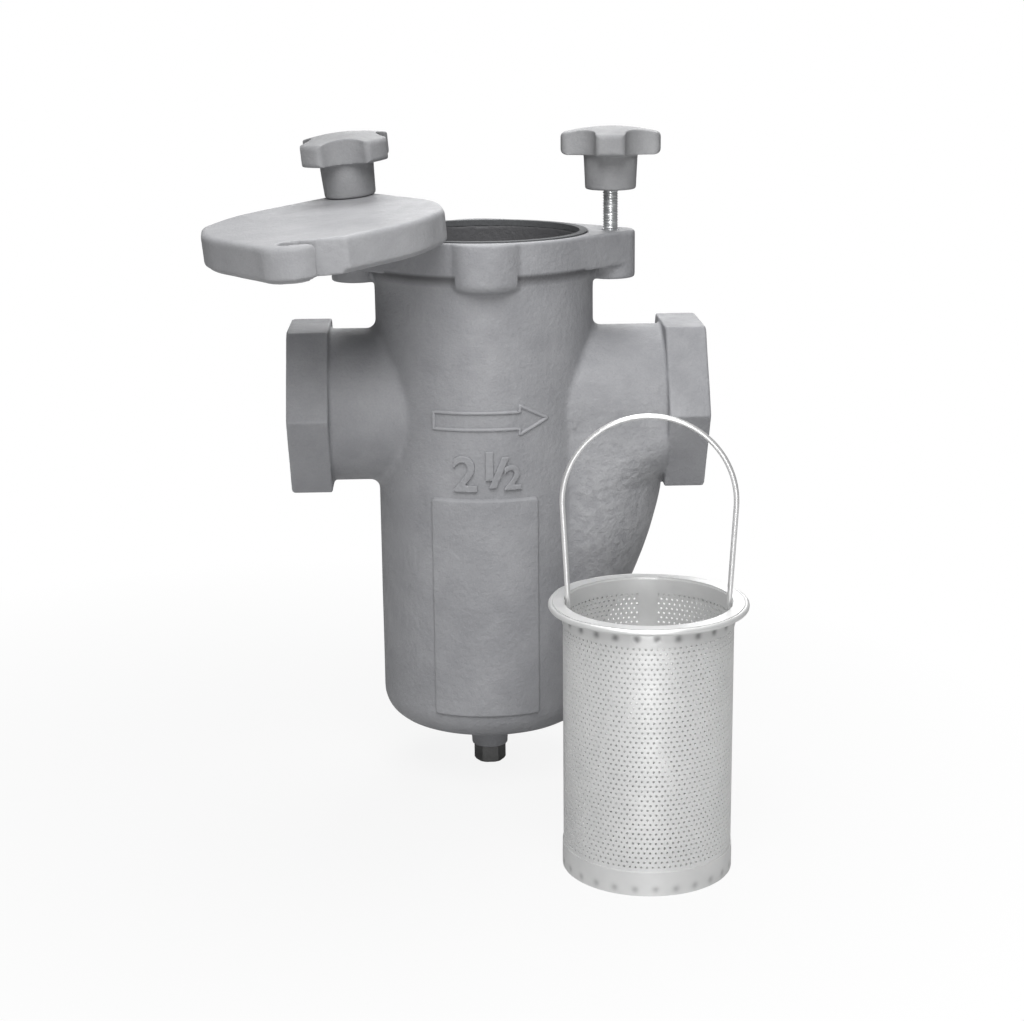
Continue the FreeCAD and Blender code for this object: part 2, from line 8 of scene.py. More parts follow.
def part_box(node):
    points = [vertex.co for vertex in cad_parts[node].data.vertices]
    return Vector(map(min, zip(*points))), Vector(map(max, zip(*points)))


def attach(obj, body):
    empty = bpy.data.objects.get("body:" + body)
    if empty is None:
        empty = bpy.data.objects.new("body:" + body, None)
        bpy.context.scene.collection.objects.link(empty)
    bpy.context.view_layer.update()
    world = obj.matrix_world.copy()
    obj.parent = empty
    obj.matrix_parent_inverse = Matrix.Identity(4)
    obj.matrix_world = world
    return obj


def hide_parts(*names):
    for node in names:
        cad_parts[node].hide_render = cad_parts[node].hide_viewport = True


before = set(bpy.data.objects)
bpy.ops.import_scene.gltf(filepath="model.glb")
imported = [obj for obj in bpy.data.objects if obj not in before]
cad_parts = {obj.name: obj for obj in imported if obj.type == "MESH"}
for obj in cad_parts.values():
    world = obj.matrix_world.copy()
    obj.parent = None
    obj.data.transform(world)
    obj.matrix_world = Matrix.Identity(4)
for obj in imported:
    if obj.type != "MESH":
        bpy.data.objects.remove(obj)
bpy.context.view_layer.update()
scene = bpy.context.scene
scene.view_settings.view_transform = "Standard"
mm = 0.001

# The camera stands where the photograph was taken from: about 1.2 m in front of the strainer,
# a little above its rim, and looking down at it.
camera_place = Vector((0.092117, -1.217022, 0.239386))
look_right, look_down, roll = math.radians(2.062), math.radians(14.274), math.radians(0.607)
forward = Vector((
    math.sin(look_right) * math.cos(look_down),
    math.cos(look_right) * math.cos(look_down),
    -math.sin(look_down),
))
level_right = Vector((math.cos(look_right), -math.sin(look_right), 0))
level_down = forward.cross(level_right)
picture_right = math.cos(roll) * level_right + math.sin(roll) * level_down
picture_down = -math.sin(roll) * level_right + math.cos(roll) * level_down
camera = bpy.data.objects.new("camera", bpy.data.cameras.new("camera"))
scene.collection.objects.link(camera)
camera.data.sensor_width = 36
camera.data.lens = 69.82    # fitted to the photograph's edges, like the place and the angles above
camera.data.clip_start = 0.05
camera.data.clip_end = 50
camera.matrix_world = Matrix.Translation(camera_place) @ Matrix(
    (picture_right, -picture_down, -forward)
).transposed().to_4x4()
scene.camera = camera


# Studio light: the main lamp high in front, one overhead behind that only lights what faces up, and a
# weak low one in front that draws the bright stripe down the basket. A weak one behind lifts the back.
def soft_lamp(name, place, target, width, watts):
    """A square area lamp that faces a target."""
    lamp = bpy.data.lights.new(name, "AREA")
    lamp.shape = "SQUARE"
    lamp.size = width
    lamp.energy = watts
    holder = bpy.data.objects.new(name, lamp)
    scene.collection.objects.link(holder)
    holder.location = place
    holder.rotation_mode = "QUATERNION"
    holder.rotation_quaternion = (Vector(target) - Vector(place)).to_track_quat("-Z", "Y")


soft_lamp("lamp_main", place=(0.05, -1.05, 1.15), target=(0.13, -0.05, -0.05), width=1.1, watts=23)
soft_lamp("lamp_overhead", place=(0.15, 0.6, 1.3), target=(0.12, 0, 0), width=0.8, watts=14)
soft_lamp("lamp_back", place=(0.3, 1.5, 0.5), target=(0.12, 0, -0.05), width=0.8, watts=5)
soft_lamp("lamp_low", place=(0.12, -1.6, -0.05), target=(0.16, 0, -0.1), width=0.35, watts=5)

# The air gives a weak even light, and the camera sees it white, straight or through a clear piece.
world = bpy.data.worlds.new("studio")
scene.world = world
world.use_nodes = True
air = world.node_tree.nodes
air.clear()
sky_output = air.new("ShaderNodeOutputWorld")
sky = air.new("ShaderNodeBackground")
ray = air.new("ShaderNodeLightPath")
seen = air.new("ShaderNodeMath")
seen.operation = "MAXIMUM"
strength = air.new("ShaderNodeMapRange")
even_light, seen_white = 0.19, 1.0
strength.inputs["To Min"].default_value = even_light
strength.inputs["To Max"].default_value = seen_white
world.node_tree.links.new(ray.outputs["Is Camera Ray"], seen.inputs[0])
world.node_tree.links.new(ray.outputs["Is Transmission Ray"], seen.inputs[1])
world.node_tree.links.new(seen.outputs[0], strength.inputs["Value"])
world.node_tree.links.new(strength.outputs[0], sky.inputs["Strength"])
world.node_tree.links.new(sky.outputs[0], sky_output.inputs[0])
sky.inputs["Color"].default_value = (1, 1, 1, 1)


# Every finish below is a Principled shader whose colour, roughness and bump come from nodes.
class Finish:
    """A material under construction, with short ways to add and join its nodes."""

    def __init__(self, name):
        self.material = bpy.data.materials.new(name)
        self.material.use_nodes = True
        self.tree = self.material.node_tree
        self.shader = self.tree.nodes["Principled BSDF"]
        self.place = self.tree.nodes.new("ShaderNodeTexCoord").outputs["Object"]

    def add(self, kind, settings=None, **inputs):
        """A new node; each input is a constant or comes from a socket."""
        made = self.tree.nodes.new(kind)
        for key, value in (settings or {}).items():
            setattr(made, key, value)
        for key, value in inputs.items():
            socket = made.inputs[key.replace("_", " ")]
            if isinstance(value, bpy.types.NodeSocket):
                self.tree.links.new(value, socket)
            else:
                socket.default_value = value
        return made

    def cloud(self, scale, detail=2.0, roughness=0.5):
        """Noise between 0 and 1, with features one over scale metres across."""
        return self.add("ShaderNodeTexNoise", Vector=self.place, Scale=scale, Detail=detail,
                        Roughness=roughness).outputs["Fac"]

    def remap(self, value, low, high, to_low, to_high):
        """A value taken from one range to another, and held at the ends."""
        return self.add("ShaderNodeMapRange", None, Value=value, From_Min=low, From_Max=high,
                        To_Min=to_low, To_Max=to_high).outputs[0]

    def blend(self, share, first, second):
        """A colour between two colours or colour sockets."""
        made = self.add("ShaderNodeMix", {"data_type": "RGBA"})
        for socket, value in ((made.inputs[0], share), (made.inputs[6], first), (made.inputs[7], second)):
            if isinstance(value, bpy.types.NodeSocket):
                self.tree.links.new(value, socket)
            elif socket.type == "RGBA":
                socket.default_value = (*value, 1)
            else:
                socket.default_value = value
        return made.outputs[2]

    def reach(self, axis):
        """How far a point lies from an upright axis at this x, and the point's own parts."""
        parts = self.add("ShaderNodeSeparateXYZ", Vector=self.place).outputs
        across = self.add("ShaderNodeMath", {"operation": "SUBTRACT"})
        self.tree.links.new(parts["X"], across.inputs[0])
        across.inputs[1].default_value = axis
        flat = self.add("ShaderNodeCombineXYZ", X=across.outputs[0], Y=parts["Y"]).outputs[0]
        length = self.add("ShaderNodeVectorMath", {"operation": "LENGTH"})
        self.tree.links.new(flat, length.inputs[0])
        return length.outputs["Value"], parts

    def within(self, *ramps):
        """1 where every ramp, given as a value with its start and its end, is past its end, and 0
        where one is before its start."""
        least = None
        for value, start, end in ramps:
            share = self.remap(value, start, end, 0, 1)
            if least is not None:
                both = self.add("ShaderNodeMath", {"operation": "MINIMUM"})
                self.tree.links.new(least, both.inputs[0])
                self.tree.links.new(share, both.inputs[1])
                share = both.outputs[0]
            least = share
        return least

    def dents(self, height, depth, under=None):
        """A bump of a depth in metres, over another bump or none."""
        made = self.add("ShaderNodeBump", None, Height=height, Distance=depth, Strength=1.0)
        if under is not None:
            self.tree.links.new(under, made.inputs["Normal"])
        return made.outputs[0]

    def give(self, **inputs):
        """Sets or links the shader's own sockets."""
        for key, value in inputs.items():
            socket = self.shader.inputs[key.replace("_", " ")]
            if isinstance(value, bpy.types.NodeSocket):
                self.tree.links.new(value, socket)
            elif socket.type == "RGBA":
                socket.default_value = (*value, 1)
            else:
                socket.default_value = value
        return self.material


# The floor is a plain pale sheet, level with the feet of the drain plug and the basket. The camera
# sees it nearly white, with the soft shadows of the strainer and the basket left on it.
floor_level, half_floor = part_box("drain_plug")[0].z, 6
floor_corners = [(-1, -1), (1, -1), (1, 1), (-1, 1)]
floor_mesh = bpy.data.meshes.new("floor")
floor_mesh.from_pydata([(x * half_floor, y * half_floor, floor_level) for x, y in floor_corners],
                       [], [(0, 1, 2, 3)])
floor = bpy.data.objects.new("floor", floor_mesh)
scene.collection.objects.link(floor)
paper = Finish("pale_paper")
paper.give(Base_Color=(0.45, 0.45, 0.45), Roughness=0.9)
glow = paper.add("ShaderNodeEmission", Color=(1, 1, 1, 1), Strength=1.0)
sight = paper.add("ShaderNodeLightPath")
away = paper.add("ShaderNodeVectorMath", {"operation": "LENGTH"})
paper.tree.links.new(paper.place, away.inputs[0])
near, far, near_glow, far_glow = 0.25, 0.55, 0.88, 1.0
fade = paper.remap(away.outputs["Value"], near, far, near_glow, far_glow)
share = paper.add("ShaderNodeMath", {"operation": "MULTIPLY"})
paper.tree.links.new(sight.outputs["Is Camera Ray"], share.inputs[0])
paper.tree.links.new(fade, share.inputs[1])
both = paper.add("ShaderNodeMixShader")
paper.tree.links.new(share.outputs[0], both.inputs[0])
paper.tree.links.new(paper.shader.outputs[0], both.inputs[1])
paper.tree.links.new(glow.outputs[0], both.inputs[2])
paper.tree.links.new(both.outputs[0], paper.tree.nodes["Material Output"].inputs["Surface"])
floor_mesh.materials.append(paper.material)


# The housing is one grey iron sand casting: pot, hexagon ends, necks, hump, rim and bosses. Its skin
# is the mould's sand in iron under a thin grey paint, roughest on the hump, with all edges eased.
def cast_finish(name, dark, light, grit, local=None):
    """Painted sand-cast iron: faint clouds of tone, fine specks, lighter eased edges and a gritty skin.
    A local function may change the tone and the bump in some places."""
    skin = Finish(name)
    clouds = skin.remap(skin.cloud(24, 5, 0.6), 0.36, 0.66, 0, 1)
    tone = skin.blend(clouds, dark, light)
    speck_tone = tuple(0.62 * c for c in dark)
    specks = skin.remap(skin.cloud(900, 3), 0.3, 0.7, 0, 1)
    tone = skin.blend(skin.remap(specks, 0, 1, 0, 0.16), tone, speck_tone)
    edge_tone = tuple(1.3 * c for c in light)
    edge = skin.add("ShaderNodeNewGeometry").outputs["Pointiness"]
    tone = skin.blend(skin.remap(edge, 0.51, 0.58, 0, 0.35), tone, edge_tone)
    grain_depth, lump_depth = 0.22 * mm * grit, 0.5 * mm * grit
    grain = skin.dents(skin.cloud(1100, 3, 0.6), grain_depth)
    lumps = skin.dents(skin.cloud(330, 2), lump_depth, grain)
    if local:
        tone, lumps = local(skin, tone, lumps)
    rough = skin.remap(skin.cloud(120, 3), 0.3, 0.7, 0.46, 0.62)
    return skin.give(Base_Color=tone, Roughness=rough, Normal=lumps, Specular_IOR_Level=0.4)


def cast_skin(node, name, finish, body, cell, rounds, most_triangles, swell=None):
    """A CAD casting's shape with its sharp edges eased and its faces a little uneven, as sand leaves
    them. A swell function may add a closed form to it first."""
    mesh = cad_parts[node].data.copy()
    mesh.name = name
    mesh.materials.clear()
    joined = bmesh.new()
    joined.from_mesh(mesh)
    bmesh.ops.remove_doubles(joined, verts=joined.verts, dist=1e-6)
    if swell:
        swell(joined)
    joined.to_mesh(mesh)
    joined.free()
    piece = bpy.data.objects.new(name, mesh)
    scene.collection.objects.link(piece)
    voxels = piece.modifiers.new("voxels", "REMESH")
    voxels.mode = "VOXEL"
    voxels.voxel_size = cell
    ease = piece.modifiers.new("ease", "SMOOTH")
    ease.factor = 0.5
    ease.iterations = rounds
    finished = plain_mesh(piece)
    triangles = 2 * len(finished.polygons)
    if triangles > most_triangles:
        piece.data = finished
        fewer = piece.modifiers.new("fewer", "DECIMATE")
        fewer.ratio = most_triangles / triangles
        finished = plain_mesh(piece)
    lump_height, lumps_per_metre = 0.1 * mm, 65
    uneven = [
        v.co + v.normal * (lump_height * noise.noise(v.co * lumps_per_metre)) for v in finished.vertices
    ]
    for vertex, place in zip(finished.vertices, uneven):
        vertex.co = place
    dressed(piece, name, finished, finish, body, "cast_grey", node)


def plain_mesh(piece):
    """The piece's mesh with its modifiers worked in, and the modifiers removed."""
    evaluated = piece.evaluated_get(bpy.context.evaluated_depsgraph_get())
    finished = bpy.data.meshes.new_from_object(evaluated)
    piece.modifiers.clear()
    return finished


def dressed(piece, name, mesh, finish, body, slot, *nodes):
    """Gives a piece its final mesh and finish, and lets it ride on a body."""
    piece.data = mesh
    mesh.name = name
    mesh.materials.clear()
    mesh.materials.append(finish)
    mesh.shade_smooth()
    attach(piece, body)
    if nodes:
        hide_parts(*nodes)


pot_axis, pot_radius = 120 * mm, 67 * mm


def housing_places(skin, tone, lumps):
    """Painted shade darkens the inside of the bore, a painted shadow runs under the rim's edge, and the
    hump's sand was coarse.
    """
    reach, parts = skin.reach(pot_axis)
    level, across = parts["Z"], parts["X"]
    bore_reach, bore_foot, bore_top = 64 * mm, -184.5 * mm, 103 * mm
    edge = 0.5 * mm
    bore = skin.within((reach, bore_reach + edge, bore_reach), (level, bore_foot - edge, bore_foot),
                       (level, bore_top + edge, bore_top))
    bore_shade_tone, rim_shadow_tone, sand_tone = (0.11, 0.11, 0.115), (0.1, 0.1, 0.105), (0.5, 0.5, 0.51)
    # Painted shade: the inside of the bore is coloured dark, standing in for the shade in the pot.
    tone = skin.blend(bore, tone, bore_shade_tone)
    # Painted shadow: a dark band on the pot just below the rim's overhang, standing in for the shadow the
    # rim casts.
    rim_shadow = skin.within((reach, 71.3 * mm, 70.7 * mm), (reach, 65 * mm, 65.5 * mm),
                       (level, 80 * mm, 85 * mm), (level, 88 * mm, 86 * mm))
    tone = skin.blend(rim_shadow, tone, rim_shadow_tone)
    hump = skin.within((across, 166 * mm, 178 * mm), (across, 227 * mm, 223 * mm),
                       (level, 25 * mm, -35 * mm))
    sand = skin.remap(skin.cloud(200, 3, 0.5), 0.35, 0.65, 0, 1)
    height = skin.add("ShaderNodeMath", {"operation": "MULTIPLY"})
    skin.tree.links.new(sand, height.inputs[0])
    skin.tree.links.new(hump, height.inputs[1])
    tone = skin.blend(skin.remap(height.outputs[0], 0, 1, 0, 0.25), tone, sand_tone)
    sand_depth = 0.45 * mm
    return tone, skin.dents(height.outputs[0], sand_depth, lumps)


def hump_swell(casting):
    """Adds to a bmesh the swell that carries the outlet's neck smoothly down into the hump.
    Each section is a bowed wedge in the crease between the two, sunk a little into both."""
    neck_radius, hump_centre, ring_back, swell_foot = 47 * mm, 183.5 * mm, 229.5 * mm, -50 * mm
    sunk, steps, step_turn = 2 * mm, 8, 6
    ring_share, chord_share, crease_share = 0.3, 0.7, 0.3
    sections = []
    for turn in range(-90, 91, step_turn):
        side = neck_radius * math.sin(math.radians(turn))
        out = neck_radius * math.cos(math.radians(turn))
        hump_side = min(hump_centre + out, ring_back)
        crease = Vector((hump_side, side, -out))
        low = Vector((hump_side - sunk / 2, side, swell_foot))
        high = Vector((ring_back, side, ring_share * (swell_foot + out) - out))
        pull = (low + high) / 2 * chord_share + crease * crease_share
        corners = [Vector((hump_side - sunk, side, sunk - out))]
        for step in range(steps + 1):
            t = step / steps
            corners.append(low * (1 - t) ** 2 + pull * 2 * t * (1 - t) + high * t ** 2)
        corners.append(Vector((ring_back, side, sunk - out)))
        sections.append([casting.verts.new(corner) for corner in corners])
    sides = [casting.faces.new(sections[0]), casting.faces.new(sections[-1])]
    for section, following in zip(sections, sections[1:]):
        for k in range(len(section)):
            sides.append(casting.faces.new((section[k - 1], section[k], following[k], following[k - 1])))
    bmesh.ops.recalc_face_normals(casting, faces=sides)


casting_grey = cast_finish("cast_iron_housing", dark=(0.27, 0.273, 0.287), light=(0.34, 0.342, 0.357),
                           grit=1.0, local=housing_places)
cast_skin("strainer_body", "housing_casting", casting_grey, "housing",
          cell=1.05 * mm, rounds=2, most_triangles=195_000, swell=hump_swell)


# Raised marks on the pot's front: the bare plate that would carry the casting's data, the outlined
# arrow that shows the way of flow, and the size in plain numerals. All are cast in one with the pot.
def on_pot(across, level, out):
    """A point on the pot's front, in millimetres: across from its axis, level, and out of its wall."""
    angle = across * mm / pot_radius
    reach = pot_radius + out * mm
    return Vector((pot_axis + reach * math.sin(angle), -reach * math.cos(angle), level * mm))


def new_piece(name, points=(), faces=()):
    """An object of its own, empty or with a mesh."""
    mesh = bpy.data.meshes.new(name)
    mesh.from_pydata([tuple(p) for p in points], [], list(faces))
    piece = bpy.data.objects.new(name, mesh)
    scene.collection.objects.link(piece)
    return piece


plate_left, plate_right, plate_top, plate_foot = -36.5, 31.0, -46.0, -184.5
plate_rise, plate_sunk, plate_corner, plate_slope = 2.1, 0.35, 3.0, 1.6
plate_columns, plate_rows = 110, 220
skin_lump, skin_lumps_per_metre = 0.1 * mm, 260
points, faces = [], []
half_width = (plate_right - plate_left) / 2
half_height = (plate_top - plate_foot) / 2
for row in range(plate_rows + 1):
    for column in range(plate_columns + 1):
        across = -half_width + 2 * half_width * column / plate_columns
        up = -half_height + 2 * half_height * row / plate_rows
        out_x = max(abs(across) - half_width + plate_corner, 0)
        out_z = max(abs(up) - half_height + plate_corner, 0)
        inside = plate_corner - math.hypot(out_x, out_z)
        slope = max(0.0, min(1.0, inside / plate_slope))
        rise = plate_rise * slope * slope * (3 - 2 * slope) - plate_sunk
        place = on_pot(across + half_width + plate_left, up + half_height + plate_foot, rise)
        lump = skin_lump * noise.noise(place * skin_lumps_per_metre)
        points.append(place + Vector((0, -lump, 0)))
for row in range(plate_rows):
    for column in range(plate_columns):
        corner = row * (plate_columns + 1) + column
        faces.append((corner, corner + 1, corner + plate_columns + 2, corner + plate_columns + 1))
plate = new_piece("bare_plate", points, faces)
backed = plate.modifiers.new("back", "SOLIDIFY")
backed.thickness = 1.5 * mm
backed.offset = -1
dressed(plate, "bare_plate", plain_mesh(plate), casting_grey, "housing", "cast_grey")

arrow_corners = [(-33.5, 6.1), (19, 6.1), (19, 9.8), (37, 1.0), (19, -7.4), (19, -4.0), (-33.5, -4.0)]
arrow_line = bpy.data.curves.new("flow_arrow", "CURVE")
arrow_line.dimensions = "3D"
arrow_line.bevel_depth = 1.15 * mm
arrow_line.bevel_resolution = 3
steps_per_side, arrow_out = 24, 0.1
route = []
for start, end in zip(arrow_corners, arrow_corners[1:] + arrow_corners[:1]):
    for step in range(steps_per_side):
        along = step / steps_per_side
        across = start[0] + (end[0] - start[0]) * along
        level = start[1] + (end[1] - start[1]) * along
        route.append(on_pot(across, level, arrow_out))
spline = arrow_line.splines.new("POLY")
spline.points.add(len(route) - 1)
for point, place in zip(spline.points, route):
    point.co = (*place, 1)
spline.use_cyclic_u = True
arrow = bpy.data.objects.new("flow_arrow", arrow_line)
scene.collection.objects.link(arrow)
arrow_mesh = plain_mesh(arrow)
bpy.data.objects.remove(arrow)
dressed(new_piece("flow_arrow"), "flow_arrow", arrow_mesh, casting_grey, "housing", "cast_grey")


def raised_numerals(text, size, left, foot, stretch):
    """Thick rounded figures bent round the pot's front."""
    letters = bpy.data.curves.new("figures", "FONT")
    letters.body = text
    letters.size = size * mm
    letters.extrude = 1.9 * mm
    letters.offset = 0.6 * mm
    holder = bpy.data.objects.new("figures", letters)
    scene.collection.objects.link(holder)
    solid = new_piece("figures_solid")
    solid.data = plain_mesh(holder)
    bpy.data.objects.remove(holder)
    voxels = solid.modifiers.new("voxels", "REMESH")
    voxels.mode = "VOXEL"
    voxels.voxel_size = 0.45 * mm
    ease = solid.modifiers.new("ease", "SMOOTH")
    ease.iterations = 4
    bent = plain_mesh(solid)
    bpy.data.objects.remove(solid)
    for vertex in bent.vertices:
        x, z, out = vertex.co / mm
        vertex.co = on_pot(left + x * stretch, foot + z, out)
    return bent


figures = bmesh.new()
for text, size, left, foot, stretch in (
    ("2", 30.2, -22.0, -41.0, 1.03),
    ("1", 24.5, -7.6, -34.1, 1.3),
    ("/", 25.5, 0.6, -38.6, 1.5),
    ("2", 20.3, 8.6, -40.1, 1.08),
):
    figures.from_mesh(raised_numerals(text, size, left, foot, stretch))
figure_mesh = bpy.data.meshes.new("size_numerals")
figures.to_mesh(figure_mesh)
figures.free()
dressed(new_piece("size_numerals"), "size_numerals", figure_mesh, casting_grey, "housing", "cast_grey")


# Pipe threads in both ends, eight to the inch, in bare machined iron.
# A thread is a ridge that follows a helix, so its tree sweeps a small profile along one.
def node_tree(name, sizes):
    """A Geometry Nodes tree with named number inputs, and short ways to add and join nodes."""
    tree = bpy.data.node_groups.new(name, "GeometryNodeTree")
    tree.interface.new_socket("Geometry", in_out="INPUT", socket_type="NodeSocketGeometry")
    for label, kind in sizes.items():
        tree.interface.new_socket(label, in_out="INPUT", socket_type="NodeSocket" + kind)
    tree.interface.new_socket("Geometry", in_out="OUTPUT", socket_type="NodeSocketGeometry")
    start = tree.nodes.new("NodeGroupInput")
    end = tree.nodes.new("NodeGroupOutput")

    def add(kind, settings=None, inputs=None):
        made = tree.nodes.new(kind)
        for key, value in (settings or {}).items():
            setattr(made, key, value)
        for key, value in (inputs or {}).items():
            if isinstance(value, bpy.types.NodeSocket):
                tree.links.new(value, made.inputs[key])
            else:
                made.inputs[key].default_value = value
        return made

    def sum_of(operation, *values):
        """The result of one sum on numbers or sockets."""
        made = add("ShaderNodeMath", {"operation": operation})
        for socket, value in zip(made.inputs, values):
            if isinstance(value, bpy.types.NodeSocket):
                tree.links.new(value, socket)
            else:
                socket.default_value = value
        return made.outputs[0]

    def finish(geometry, material):
        """Ends the tree with real geometry in its material."""
        real = add("GeometryNodeRealizeInstances", None, {0: geometry})
        painted = add("GeometryNodeSetMaterial", None, {0: real.outputs[0]})
        painted.inputs["Material"].default_value = material
        tree.links.new(painted.outputs[0], end.inputs[0])

    return tree, start.outputs, add, sum_of, finish


def grown(piece, tree, values):
    """The mesh that a Geometry Nodes tree grows on a piece with these sizes."""
    modifier = piece.modifiers.new(tree.name, "NODES")
    modifier.node_group = tree
    sockets = {s.name: s.identifier for s in tree.interface.items_tree if s.in_out == "INPUT"}
    for label, value in values.items():
        modifier[sockets[label]] = value
    return plain_mesh(piece)


def thread_tree(name, material):
    sizes = {"Radius": "Float", "Pitch": "Float", "Turns": "Float", "Ridge": "Float", "Points": "Int"}
    tree, given, add, sum_of, finish = node_tree(name, sizes)
    helix = add("GeometryNodeCurveSpiral", None, {
        "Resolution": given["Points"], "Rotations": given["Turns"],
        "Start Radius": given["Radius"], "End Radius": given["Radius"],
        "Height": sum_of("MULTIPLY", given["Pitch"], given["Turns"]),
    })
    ridge = add("GeometryNodeCurvePrimitiveCircle", None, {"Resolution": 6, "Radius": given["Ridge"]})
    swept = add("GeometryNodeCurveToMesh", None, {
        0: helix.outputs[0], 1: ridge.outputs[0], "Fill Caps": True,
    })
    finish(swept.outputs[0], material)
    return tree


bare_iron = Finish("machined_iron")
turned_marks = bare_iron.cloud(420, 2)
bare_iron.give(
    Base_Color=bare_iron.blend(turned_marks, (0.20, 0.20, 0.205), (0.33, 0.33, 0.335)),
    Roughness=bare_iron.remap(turned_marks, 0.3, 0.7, 0.32, 0.45),
    Normal=bare_iron.dents(bare_iron.cloud(900, 2), 0.00008), Metallic=0.7,
)
outlet_face, thread_start, quarter = 254 * mm, 1.2 * mm, math.radians(90)
to_outlet = Matrix.Translation((outlet_face - thread_start, 0, 0)) @ Matrix.Rotation(-quarter, 4, "Y")
to_inlet = Matrix.Translation((thread_start, 0, 0)) @ Matrix.Rotation(quarter, 4, "Y")
tap_tree = thread_tree("pipe_thread", bare_iron.material)
for name, placing in (("inlet_thread", to_inlet), ("outlet_thread", to_outlet)):
    thread = new_piece(name)
    ridge_mesh = grown(thread, tap_tree, {
        "Radius": 33.3 * mm, "Pitch": 3.175 * mm, "Turns": 8.4, "Ridge": 1.05 * mm, "Points": 72,
    })
    ridge_mesh.transform(placing)
    dressed(thread, name, ridge_mesh, bare_iron.material, "housing", "cast_grey")


# The gasket is a flat ring of pressed fibre laid in the rim's recess.
fibre = Finish("gasket_fibre")
fuzz = fibre.cloud(700, 4, 0.7)
fibre.give(
    Base_Color=fibre.blend(fuzz, (0.055, 0.057, 0.062), (0.16, 0.165, 0.17)),
    Roughness=fibre.remap(fuzz, 0.3, 0.7, 0.75, 0.9), Normal=fibre.dents(fuzz, 0.0002),
)


def refinish(node, finish):
    """A CAD node that keeps its shape gets its finish."""
    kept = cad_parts[node]
    kept.data.materials.clear()
    kept.data.materials.append(finish)


refinish("cover_gasket", fibre.material)

# The cover is a flat iron casting with a slot for the clamp stud; it has swung on the other stud.
# Its top is smoother than the housing, and its grey is made lighter than the housing's as painted light
# for the light that falls on its top.
cover_grey = cast_finish("cast_iron_cover", dark=(0.325, 0.327, 0.34), light=(0.39, 0.392, 0.405),
                         grit=0.6)
cast_skin("cover", "cover_casting", cover_grey, "swing_cover",
          cell=0.95 * mm, rounds=3, most_triangles=150_000)

# The two hand knobs are small castings with four lobes on a tapered hub, tapped for the studs.
knob_grey = cast_finish("cast_iron_knobs", dark=(0.255, 0.257, 0.265), light=(0.335, 0.337, 0.345),
                        grit=0.7)
for node, body in (("pivot_knob", "pivot_hand_knob"), ("clamp_knob", "clamp_hand_knob")):
    cast_skin(node, node + "_casting", knob_grey, body, cell=0.55 * mm, rounds=3, most_triangles=120_000)

# The studs are zinc-plated three-eighths bolts, threaded all the way, that hang in the bosses by
# their heads. The pivot's stud is loose and leans with the cover.
zinc = Finish("zinc_plate")
bloom = zinc.cloud(260, 4)
zinc.give(
    Base_Color=zinc.blend(bloom, (0.56, 0.575, 0.58), (0.80, 0.81, 0.81)),
    Roughness=zinc.remap(bloom, 0.3, 0.7, 0.26, 0.42), Metallic=0.85,
    Normal=zinc.dents(zinc.cloud(1500, 2), 0.00004),
)
stud_pitch, stud_root, thread_middle, thread_ridge = 1.5875 * mm, 4.2 * mm, 4.26 * mm, 0.44 * mm
head_foot, head_top, head_reach = 82.2 * mm, 87.9 * mm, 13.5 * mm / math.sqrt(3)
thread_foot, bar_foot, bare_end = 89.4 * mm, 87.2 * mm, 1.3 * mm
stud_tree = thread_tree("stud_thread", zinc.material)


def upright_bar(bars, radius, sides, foot, top):
    """Adds an upright bar with this many sides and eased ends to a bmesh."""
    ease = 0.5 * mm
    levels = [(foot, radius - ease), (foot + ease, radius), (top - ease, radius), (top, radius - ease)]
    rings = []
    for level, reach in levels:
        corners = [2 * math.pi * k / sides for k in range(sides)]
        rings.append([bars.verts.new((reach * math.cos(a), reach * math.sin(a), level)) for a in corners])
    for low, high in zip(rings, rings[1:]):
        for k in range(sides):
            following = (k + 1) % sides
            bars.faces.new((low[k], low[following], high[following], high[k]))
    bars.faces.new(list(reversed(rings[0])))
    bars.faces.new(rings[-1])


def threaded_stud(name, node, body, top, placing):
    """A round bar with its thread and its hexagon head, moved from the z axis to its place."""
    thread = new_piece(name)
    turns = (top - thread_foot - bare_end) / stud_pitch
    ridge = grown(thread, stud_tree, {
        "Radius": thread_middle, "Pitch": stud_pitch, "Turns": turns, "Ridge": thread_ridge, "Points": 36,
    })
    ridge.transform(Matrix.Translation((0, 0, thread_foot)))
    bars = bmesh.new()
    bars.from_mesh(ridge)
    upright_bar(bars, stud_root, 40, bar_foot, top)
    upright_bar(bars, head_reach, 6, head_foot, head_top)
    bars.transform(placing)
    mesh = bpy.data.meshes.new(name)
    bars.to_mesh(mesh)
    bars.free()
    dressed(thread, name, mesh, zinc.material, body, "zinc_steel", node)
    mesh.set_sharp_from_angle(angle=math.radians(35))


rim_top, pivot_x, clamp_x = 106 * mm, 42 * mm, 198 * mm
pivot_stud_top, clamp_stud_top = 141.4 * mm, 144.5 * mm
lean, lean_turn, edge_reach = math.radians(5.9), math.radians(210.5), 15 * mm
lean_way = Vector((math.cos(lean_turn), math.sin(lean_turn), 0))
tipping_edge = Vector((pivot_x, 0, rim_top)) + lean_way * edge_reach
leaning = (
    Matrix.Translation(tipping_edge)
    @ Matrix.Rotation(lean, 4, Vector((0, 0, 1)).cross(lean_way))
    @ Matrix.Translation(-tipping_edge)
)
square_to_lean = Matrix.Rotation(lean_turn, 4, "Z")
threaded_stud("pivot_stud_threaded", "pivot_stud", "pivot_post", pivot_stud_top,
              leaning @ Matrix.Translation((pivot_x, 0, 0)) @ square_to_lean)
threaded_stud("clamp_stud_threaded", "clamp_stud", "clamp_post", clamp_stud_top,
              Matrix.Translation((clamp_x, 0, 0)))

